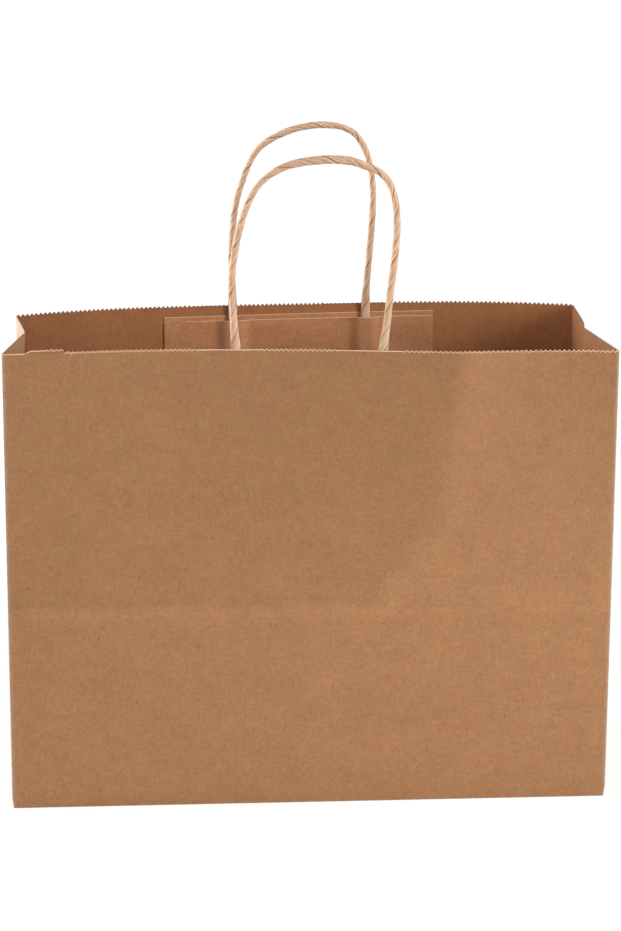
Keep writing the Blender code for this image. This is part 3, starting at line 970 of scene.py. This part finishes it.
def handle_points(wall, route, middle, span, rise):
    """The route from foot to foot: down in the strips along the panel, and upright above the rim."""
    left, right = leg_places(middle, span)
    top = BAG_HEIGHT - STRIP_DROP
    heights = (top - FOOT_LENGTH, top - FOOT_LENGTH / 2, top, BAG_HEIGHT)
    points = [leg_point(wall, left, height) for height in heights]
    ends = points[-1], leg_point(wall, right, BAG_HEIGHT)
    inwards = -wall[3] * (CORD_RADIUS - cord_half_depth(BAG_HEIGHT))
    for across, up in route:
        point = lerp(*ends, across + 0.5) + inwards * roundness(BAG_HEIGHT + up * rise)
        points.append(point + Vector((0, 0, up * rise)))
    points += [leg_point(wall, right, height) for height in reversed(heights)]
    return points


def curve_through(points, step):
    """Points a step apart on a smooth curve through the given ones."""
    padded = [2 * points[0] - points[1]] + points + [2 * points[-1] - points[-2]]
    found = []
    for i in range(1, len(padded) - 2):
        before, start, end, after = padded[i - 1:i + 3]
        count = max(1, round((end - start).length / step))
        for j in range(count):
            t = j / count
            found.append(
                start
                + (end - before) * (t / 2)
                + (2 * before - 5 * start + 4 * end - after) * (t ** 2 / 2)
                + (3 * start - 3 * end + after - before) * (t ** 3 / 2)
            )
    return found + [points[-1]]


def groove_depth(turn, along, seed):
    """How deep the folds of the twisted paper are at a turn measured with the twist."""
    found = 0.0
    for middle, depth, width in GROOVES:
        wander = GROOVE_WANDER * noise.noise(Vector((along * 38, middle * 3, seed)))
        apart = math.remainder(turn - middle - wander, math.tau)
        found += depth * bell(apart, 0.0, width)
    return found


def twisted_radius(turn, along, seed):
    """The cord's radius between its folds, as a share of its mean."""
    share = 1.0 + CORD_OVAL * math.cos(2 * turn + OVAL_TURN)
    dent = Vector((math.cos(turn) * 2.2, math.sin(turn) * 2.2, along * 60 + seed))
    share += CORD_DENTS * noise.noise(dent)
    share += CORD_SWELLING * noise.noise(Vector((along * 34, seed, 0.5)))
    return share


def spread_along(points, values, step):
    """The values of a route's points, carried to the points of the curve through them."""
    found = []
    for start, end, first, last in zip(points, points[1:], values, values[1:]):
        count = max(1, round((end - start).length / step))
        found += [lerp(first, last, smooth(j / count)) for j in range(count)]
    return found + [values[-1]]


def build_handle(name, material, points, girth, seed):
    """A twisted cord, pressed flat at its feet and round above."""
    path = curve_through(points, CORD_STEP)
    feet = (len(points) - len(girth)) // 2
    thickness = spread_along(points, (1.0,) * feet + girth + (1.0,) * feet, CORD_STEP)
    positions, strands, grooves, faces = [], [], [], []
    along = 0.0
    for i, point in enumerate(path):
        ahead, behind = path[min(i + 1, len(path) - 1)], path[max(i - 1, 0)]
        forward = (ahead - behind).normalized()
        side = Vector((0, 1, 0)).cross(forward).normalized()
        face = forward.cross(side)
        upright = roundness(point.z)
        half_width = lerp(FOOT_HALF_WIDTH, CORD_RADIUS, upright)
        half_depth = lerp(FOOT_HALF_DEPTH, CORD_RADIUS, upright)
        for k in range(CORD_SIDES):
            angle = math.tau * k / CORD_SIDES
            turn = angle - math.tau * along / TWIST_PITCH
            groove = groove_depth(turn, along, seed)
            twisted = twisted_radius(turn, along, seed) - groove
            relief = lerp(1.0, twisted, lerp(PRESSED_RELIEF, 1.0, upright))
            offset = side * half_width * math.cos(angle) + face * half_depth * math.sin(angle)
            positions.append(point + offset * relief * thickness[i])
            strands.append((math.cos(turn), math.sin(turn), along))
            grooves.append(groove)
        if i < len(path) - 1:
            along += (path[i + 1] - point).length
    for i in range(len(path) - 1):
        for k in range(CORD_SIDES):
            after = (k + 1) % CORD_SIDES
            low, high = i * CORD_SIDES, (i + 1) * CORD_SIDES
            faces.append((low + k, low + after, high + after, high + k))
    last = (len(path) - 1) * CORD_SIDES
    faces.append(tuple(range(CORD_SIDES))[::-1])
    faces.append(tuple(range(last, last + CORD_SIDES)))
    return build_piece(name, material, positions, faces, {STRAND: strands, GROOVE: grooves})


# Materials


# Clouds and grain of kraft paper: scale of the noise, its detail, and its weight in the paper's tone
CLOUDS = {
    "haze": (16, 2, 0.02),
    "cloud": (40, 3, 0.05),
    "patch": (130, 2, 0.055),
    "mottle": (360, 2, 0.095),
    "speckle": (700, 1, 0.08),
    "grain": (1500, 2, 0.04),
}

# Fibres that lie one way: scale of the noise across and along the sheet, its turn, and its weight
FIBRES = {
    "upright": ((950, 120, 1), 0.0, 0.06),
    "level": ((120, 900, 1), 0.0, 0.045),
    "slanted": ((220, 1100, 1), 0.7, 0.045),
}

# Which of those layers stand up from the paper, by how much of the bump's height
RELIEF = {"grain": 0.5, "upright": 0.35, "level": 0.2, "mottle": 0.5}
PAPER_BUMP = 0.00003

# Dark fibres: turn, scale across and along, size, and the share of the cells that hold one
FLECKS = (
    (0.35, (330, 95, 1), 0.17, 0.035),
    (1.55, (360, 85, 1), 0.15, 0.03),
    (2.45, (310, 105, 1), 0.16, 0.035),
    (1.0, (420, 150, 1), 0.17, 0.035),
    (0.0, (520, 480, 1), 0.2, 0.015),
)
FLECK_SHADE = 0.6
DOTS = (0.9, (900, 800, 1), 0.3, 0.03)
DOT_SHADE = 0.22

# Slow change between the paper's two hues: scale, turn, and the range of the noise that it spans
HUE_SCALE = 70
HUE_TURN = 0.4
HUE_RANGE = (-0.9, 0.9)

# How the rubbed folds, partly painted highlight, follow the mottling, how ragged a cut edge is, and where
# its frayed band begins
RUBBED_AND_HIGHLIT_RANGE = (-0.8, 0.6, 0.6, 0.95)
RAGGED_EDGE = 0.0001
FRAYED_FROM = 0.6
BAG_TORN_SHARE = 0.95
STRIP_TORN_SHARE = 0.45

# Layers of the cord's paper: scale round and along it, detail, and weight in its tone
CORD_LAYERS = {
    "fine": ((5.5, 5.5, 70), 3, 0.16),
    "broad": ((2.4, 2.4, 40), 3, 0.2),
    "patch": ((0.8, 0.8, 90), 2, 0.08),
    "speckle": ((6, 6, 2200), 1, 0.02),
}
CORD_RELIEF = {"fine": 0.6, "broad": 0.6}
CORD_BUMP = 0.00004
CORD_GLOSS = 0.5

# Shaded lines of the twist: scale round and along, detail, the noise that they start and end at, darkest
CORD_LINES = (
    ((3.4, 3.4, 34), 2, 0.6, 1.3, 0.5),
    ((9, 9, 45), 1, 0.35, 0.95, 0.5),
)
GROOVE_SHADE = (0.04, 0.2, 0.0, 0.8)


class Nodes:
    """Short ways to add and link the nodes of one material or world."""

    def __init__(self, tree):
        self.tree = tree
        self.shader = tree.nodes.get("Principled BSDF")

    def put(self, value, socket):
        """Links an output to a socket, or sets a plain value on it."""
        if isinstance(value, bpy.types.NodeSocket):
            self.tree.links.new(value, socket)
        else:
            socket.default_value = value

    def fill(self, node, *values):
        """Puts values on a node's inputs in order, and gives its first output."""
        for value, socket in zip(values, node.inputs):
            self.put(value, socket)
        return node.outputs[0]

    def join(self, kind, *values):
        return self.fill(self.tree.nodes.new(kind), *values)

    def attribute(self, name, output):
        node = self.tree.nodes.new("ShaderNodeAttribute")
        node.attribute_name = name
        return node.outputs[output]

    def part(self, vector, index):
        """One of a vector's three numbers."""
        node = self.tree.nodes.new("ShaderNodeSeparateXYZ")
        self.put(vector, node.inputs[0])
        return node.outputs[index]

    def math(self, operation, *values):
        node = self.tree.nodes.new("ShaderNodeMath")
        node.operation = operation
        return self.fill(node, *values)

    def most(self, first, *others):
        """The largest of the given values."""
        for value in others:
            first = self.math("MAXIMUM", first, value)
        return first

    def ramp(self, value, low, high, start=0.0, end=1.0, easing="SMOOTHSTEP"):
        """Goes from start to end as a value goes from low to high."""
        node = self.tree.nodes.new("ShaderNodeMapRange")
        node.interpolation_type = easing
        return self.fill(node, value, low, high, start, end)

    def stretch(self, vector, scale, angle=0.0):
        """Coordinates turned in the sheet's plane and then scaled."""
        turn = self.tree.nodes.new("ShaderNodeVectorRotate")
        turn.rotation_type = "Z_AXIS"
        self.put(vector, turn.inputs["Vector"])
        turn.inputs["Angle"].default_value = angle
        node = self.tree.nodes.new("ShaderNodeVectorMath")
        node.operation = "MULTIPLY"
        return self.fill(node, turn.outputs[0], scale)

    def noise(self, vector, scale, detail, roughness=0.55):
        """Noise from -1 to 1, mostly near 0."""
        node = self.tree.nodes.new("ShaderNodeTexNoise")
        self.put(vector, node.inputs["Vector"])
        node.inputs["Scale"].default_value = scale
        node.inputs["Detail"].default_value = detail
        node.inputs["Roughness"].default_value = roughness
        return self.math("MULTIPLY_ADD", node.outputs[0], 4.0, -2.0)

    def flecks(self, place, angle, scale, size, share):
        """1 inside a few of the spots that one layer of cells holds, 0 elsewhere."""
        node = self.tree.nodes.new("ShaderNodeTexVoronoi")
        self.put(self.stretch(place, scale, angle), node.inputs["Vector"])
        node.inputs["Scale"].default_value = 1.0
        chance = self.join("ShaderNodeSeparateColor", node.outputs["Color"])
        near = self.ramp(node.outputs["Distance"], size * 0.5, size, 1.0, 0.0)
        return self.math("MULTIPLY", near, self.math("LESS_THAN", chance, share))

    def mix(self, share, first, second):
        node = self.tree.nodes.new("ShaderNodeMix")
        node.data_type = "RGBA"
        self.put(share, node.inputs["Factor"])
        for value, socket in ((first, node.inputs[6]), (second, node.inputs[7])):
            self.put((*value, 1.0) if isinstance(value, tuple) else value, socket)
        return node.outputs[2]

    def brighten(self, colour, factor):
        node = self.tree.nodes.new("ShaderNodeVectorMath")
        node.operation = "SCALE"
        self.put(colour, node.inputs[0])
        self.put(factor, node.inputs["Scale"])
        return node.outputs[0]

    def bump(self, height, distance):
        node = self.tree.nodes.new("ShaderNodeBump")
        node.inputs["Distance"].default_value = distance
        self.put(height, node.inputs["Height"])
        self.put(node.outputs[0], self.shader.inputs["Normal"])

    def gloss(self, share):
        """A matt face that shines a little where it is seen at a grazing angle, by a share of the paper."""
        weight = self.tree.nodes.new("ShaderNodeLayerWeight")
        weight.inputs["Blend"].default_value = 0.5
        grazing = self.math("MULTIPLY", self.ramp(weight.outputs["Facing"], *GRAZING), share)
        for name, plain, added in (
            ("Roughness", PAPER_ROUGHNESS, GRAZING_ROUGHNESS),
            ("Specular IOR Level", PAPER_GLOSS, GRAZING_GLOSS),
            ("Sheen Weight", 0.0, GRAZING_SHEEN),
        ):
            self.put(self.math("MULTIPLY_ADD", grazing, added, plain), self.shader.inputs[name])
        self.shader.inputs["Sheen Roughness"].default_value = SHEEN_ROUGHNESS

    def total(self, weighted):
        """The sum of the given values, each times its weight."""
        found = 0.0
        for value, weight in weighted:
            found = self.math("MULTIPLY_ADD", value, weight, found)
        return found


def new_material(name):
    material = bpy.data.materials.new(name)
    material.use_nodes = True
    return material, Nodes(material.node_tree)


def paper_layers(nodes, place):
    """The noise of each layer of clouds and fibres, by name."""
    layers = {name: nodes.noise(place, scale, detail) for name, (scale, detail, _) in CLOUDS.items()}
    for name, (scale, angle, _) in FIBRES.items():
        layers[name] = nodes.noise(nodes.stretch(place, scale, angle), 1, 2)
    return layers


def weighted_tone(nodes, layers, table):
    """1, and more or less by each layer times the weight that ends its row in a table."""
    return nodes.math("ADD", nodes.total((layers[name], row[-1]) for name, row in table.items()), 1.0)


def dark_fibres(nodes, place):
    """How dark the flecks and dots in the paper are."""
    fibres = nodes.most(0.0, *(nodes.flecks(place, *row) for row in FLECKS))
    fibres = nodes.math("MULTIPLY", fibres, FLECK_SHADE)
    return nodes.most(fibres, nodes.math("MULTIPLY", nodes.flecks(place, *DOTS), DOT_SHADE))


def kraft_material(name, colour, warmer, inside, torn_share):
    """Unbleached kraft paper: clouds of fibres, fine grain, dark flecks, rubbed folds and pale cut edges
    that are partly painted highlight, painted shade on the other cut edges, and the painted light and shade
    of the mesh's tone.
    """
    material, nodes = new_material(name)
    place = nodes.attribute(PLACE, "Vector")
    pale = nodes.attribute(PALE, "Fac")
    layers = paper_layers(nodes, place)

    tone = nodes.math(
        "MULTIPLY", weighted_tone(nodes, layers, {**CLOUDS, **FIBRES}), nodes.attribute(TONE, "Fac")
    )
    hue = nodes.ramp(nodes.noise(nodes.stretch(place, (1, 1, 1), HUE_TURN), HUE_SCALE, 2), *HUE_RANGE)
    # The inner side is darker and redder: its own colour and painted shade of the inside
    inner_side = nodes.math("MINIMUM", nodes.part(place, 2), INSIDE)
    paper = nodes.mix(inner_side, nodes.mix(hue, colour, warmer), inside)
    paper = nodes.mix(dark_fibres(nodes, place), nodes.brighten(paper, tone), DARK_FIBRE)

    # Rubbed corner folds, partly painted highlight, and the left gusset's inside whitened as painted
    # highlight
    rubbed_and_highlit = nodes.math(
        "MULTIPLY", nodes.attribute(WEAR_AND_HIGHLIGHT, "Fac"), nodes.ramp(layers["mottle"], *RUBBED_AND_HIGHLIT_RANGE)
    )
    paper = nodes.mix(rubbed_and_highlit, paper, FOLD_FIBRES_AND_HIGHLIGHT)
    ragged = nodes.math("MULTIPLY_ADD", layers["grain"], RAGGED_EDGE, nodes.attribute(FROM_EDGE, "Fac"))
    torn = nodes.ramp(ragged, FRAYED_BAND * FRAYED_FROM, FRAYED_BAND, 1.0, 0.0)
    # Painted shade on the cut edges that are not pale
    shaded_edge = nodes.math("MULTIPLY", nodes.math("SUBTRACT", 1.0, pale), SHADED_EDGE_SHARE)
    paper = nodes.mix(nodes.math("MULTIPLY", torn, shaded_edge), paper, SHADED_EDGE)
    # Pale cut fibres, partly painted highlight
    fresh_and_highlit = nodes.math("MULTIPLY", pale, torn_share)
    paper = nodes.mix(nodes.math("MULTIPLY", torn, fresh_and_highlit), paper, CUT_FIBRES_AND_HIGHLIGHT)
    nodes.put(paper, nodes.shader.inputs["Base Color"])

    nodes.gloss(nodes.math("LESS_THAN", nodes.part(place, 2), GUSSET_INSIDE / 2))
    nodes.bump(nodes.total((layers[name], weight) for name, weight in RELIEF.items()), PAPER_BUMP)
    return material


def cord_material(name):
    """Tan paper twisted into cord: fibres and shaded folds that run with the twist."""
    material, nodes = new_material(name)
    strand = nodes.attribute(STRAND, "Vector")
    layers = {
        name: nodes.noise(nodes.stretch(strand, scale), 1, detail)
        for name, (scale, detail, _) in CORD_LAYERS.items()
    }
    paper = nodes.brighten(CORD_PAPER, weighted_tone(nodes, layers, CORD_LAYERS))
    dark = nodes.ramp(nodes.attribute(GROOVE, "Fac"), *GROOVE_SHADE)
    for scale, detail, low, high, darkest in CORD_LINES:
        line = nodes.ramp(nodes.noise(nodes.stretch(strand, scale), 1, detail), low, high, 0.0, darkest)
        dark = nodes.most(dark, line)
    nodes.put(nodes.mix(dark, paper, CORD_SHADE), nodes.shader.inputs["Base Color"])
    nodes.gloss(CORD_GLOSS)
    nodes.bump(nodes.total((layers[name], weight) for name, weight in CORD_RELIEF.items()), CORD_BUMP)
    return material


# Stage


WHITE_RAYS = ("Is Camera Ray", "Is Glossy Ray", "Is Transmission Ray")

# The floor's colour, and what it is for those rays: a trace of it, and a glow near the bag and far from it
FLOOR_HALF = 30.0
FLOOR_WHITE = 0.85
FLOOR_TRACE = 0.16
FLOOR_GLOW_REACH = (0.3, 2.0)
FLOOR_GLOW = (0.88, 1.0)

# Soft light from all round, and the lamps: name, azimuth, elevation, distance, side length, level
WORLD_LEVEL = 0.15
LAMPS = (
    ("front", 0, 6, 2.4, 1.2, 0.11),
    ("right", 56, 19, 2.2, 1.0, 0.76),
    ("left", -100, 4, 2.2, 0.8, 1.75),
    ("top", 0, 78, 2.4, 1.6, 0.38),
)


def grey(level):
    return level, level, level, 1.0


def white_seen(nodes):
    """1 for the rays that are to see plain white."""
    path = nodes.tree.nodes.new("ShaderNodeLightPath")
    return nodes.most(*(path.outputs[name] for name in WHITE_RAYS))


def add_floor():
    """A pale floor that is seen as white paper, with a faint shadow near the bag."""
    data = bpy.data.meshes.new("floor")
    corners = [(x * FLOOR_HALF, y * FLOOR_HALF, 0) for x, y in ((-1, -1), (1, -1), (1, 1), (-1, 1))]
    data.from_pydata(corners, [], [(0, 1, 2, 3)])
    floor = bpy.data.objects.new("floor", data)
    bpy.context.scene.collection.objects.link(floor)
    material, nodes = new_material("floor_white")
    nodes.shader.inputs["Base Color"].default_value = grey(FLOOR_WHITE)
    nodes.shader.inputs["Roughness"].default_value = 1.0
    nodes.shader.inputs["Specular IOR Level"].default_value = 0.0
    trace = nodes.join("ShaderNodeBsdfDiffuse", grey(FLOOR_TRACE))
    position = nodes.tree.nodes.new("ShaderNodeNewGeometry")
    from_bag = nodes.tree.nodes.new("ShaderNodeVectorMath")
    from_bag.operation = "LENGTH"
    nodes.put(position.outputs["Position"], from_bag.inputs[0])
    glow = nodes.tree.nodes.new("ShaderNodeEmission")
    level = nodes.ramp(from_bag.outputs["Value"], *FLOOR_GLOW_REACH, *FLOOR_GLOW, "LINEAR")
    nodes.put(level, glow.inputs["Strength"])
    both = nodes.join("ShaderNodeAddShader", trace, glow.outputs[0])
    seen = nodes.join("ShaderNodeMixShader", white_seen(nodes), nodes.shader.outputs[0], both)
    nodes.put(seen, nodes.tree.nodes["Material Output"].inputs["Surface"])
    data.materials.append(material)


def add_world():
    """Plain soft light from all round, and a white background."""
    world = bpy.data.worlds.new("studio")
    bpy.context.scene.world = world
    world.use_nodes = True
    world.node_tree.nodes.clear()
    nodes = Nodes(world.node_tree)
    backdrop = nodes.join("ShaderNodeBackground", grey(1.0))
    light = nodes.join("ShaderNodeBackground", grey(1.0), WORLD_LEVEL)
    seen = nodes.join("ShaderNodeMixShader", white_seen(nodes), light, backdrop)
    nodes.put(seen, nodes.tree.nodes.new("ShaderNodeOutputWorld").inputs["Surface"])


def direction(turn, tilt):
    """The way out from the bag, by an angle to the right of its front and one upwards."""
    return Vector((math.sin(turn) * math.cos(tilt), -math.cos(turn) * math.cos(tilt), math.sin(tilt)))


def add_softbox(name, azimuth, elevation, distance, size, level):
    """A square lamp round the bag; level is what it adds to a white surface that faces it."""
    out = direction(math.radians(azimuth), math.radians(elevation))
    lamp = bpy.data.lights.new(name, "AREA")
    lamp.size = size
    lamp.energy = level * (math.pi * distance) ** 2
    softbox = bpy.data.objects.new(name, lamp)
    bpy.context.scene.collection.objects.link(softbox)
    softbox.location = Vector((0, 0, BAG_HEIGHT / 2)) + out * distance
    softbox.rotation_mode = "QUATERNION"
    softbox.rotation_quaternion = out.to_track_quat("Z", "Y")


def add_camera():
    """The photograph's camera, as found from the corners of the bag's rim and base."""
    back = direction(CAMERA_AZIMUTH, CAMERA_ELEVATION)
    right = Vector((0, 0, 1)).cross(back).normalized()
    up = back.cross(right)
    turned_right = right * math.cos(CAMERA_ROLL) + up * math.sin(CAMERA_ROLL)
    turned_up = up * math.cos(CAMERA_ROLL) - right * math.sin(CAMERA_ROLL)
    data = bpy.data.cameras.new("camera")
    data.sensor_width = SENSOR_MM
    data.lens = SENSOR_MM * FOCAL_PIXELS / PHOTO_HEIGHT
    camera = bpy.data.objects.new("camera", data)
    bpy.context.scene.collection.objects.link(camera)
    place = Matrix((turned_right, turned_up, back)).transposed().to_4x4()
    place.translation = CAMERA_TARGET + back * CAMERA_DISTANCE
    camera.matrix_world = place
    bpy.context.scene.camera = camera


def dress(piece, node):
    """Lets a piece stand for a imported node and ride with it."""
    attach(piece, "root")
    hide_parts(node)


# Each handle and its strips: wall, route, girth, middle, span, rise, slope and notch of the strips, seed
HANDLES = (
    (
        FRONT, FRONT_ROUTE, FRONT_GIRTH, FRONT_MIDDLE_X, FRONT_SPAN, FRONT_RISE,
        FRONT_STRIP_SLOPE, no_notch, 2.0,
    ),
    (
        REAR, REAR_ROUTE, REAR_GIRTH, REAR_MIDDLE_X, REAR_SPAN, REAR_RISE,
        REAR_STRIP_SLOPE, torn_notch, 7.0,
    ),
)


def main():
    add_camera()
    bag_paper = kraft_material("kraft_paper", KRAFT, KRAFT_RED, KRAFT_INSIDE, BAG_TORN_SHARE)
    strip_paper = kraft_material("strip_paper", STRIP_KRAFT, STRIP_KRAFT, STRIP_KRAFT, STRIP_TORN_SHARE)
    cord_paper = cord_material("cord_paper")
    dress(build_bag(bag_paper), "bag_body")
    for wall, route, girth, middle, span, rise, slope, notch, seed in HANDLES:
        name = wall[0]
        backing, cover = build_strips(wall, middle, span, slope, notch, strip_paper)
        dress(backing, f"{name}_backing_strip")
        dress(cover, f"{name}_cover_strip")
        points = handle_points(wall, route, middle, span, rise)
        handle = build_handle(f"{name}_cord", cord_paper, points, girth, seed)
        dress(handle, f"{name}_handle")

    add_floor()
    add_world()
    for lamp in LAMPS:
        add_softbox(*lamp)
    bpy.context.scene.view_settings.view_transform = "Standard"


main()
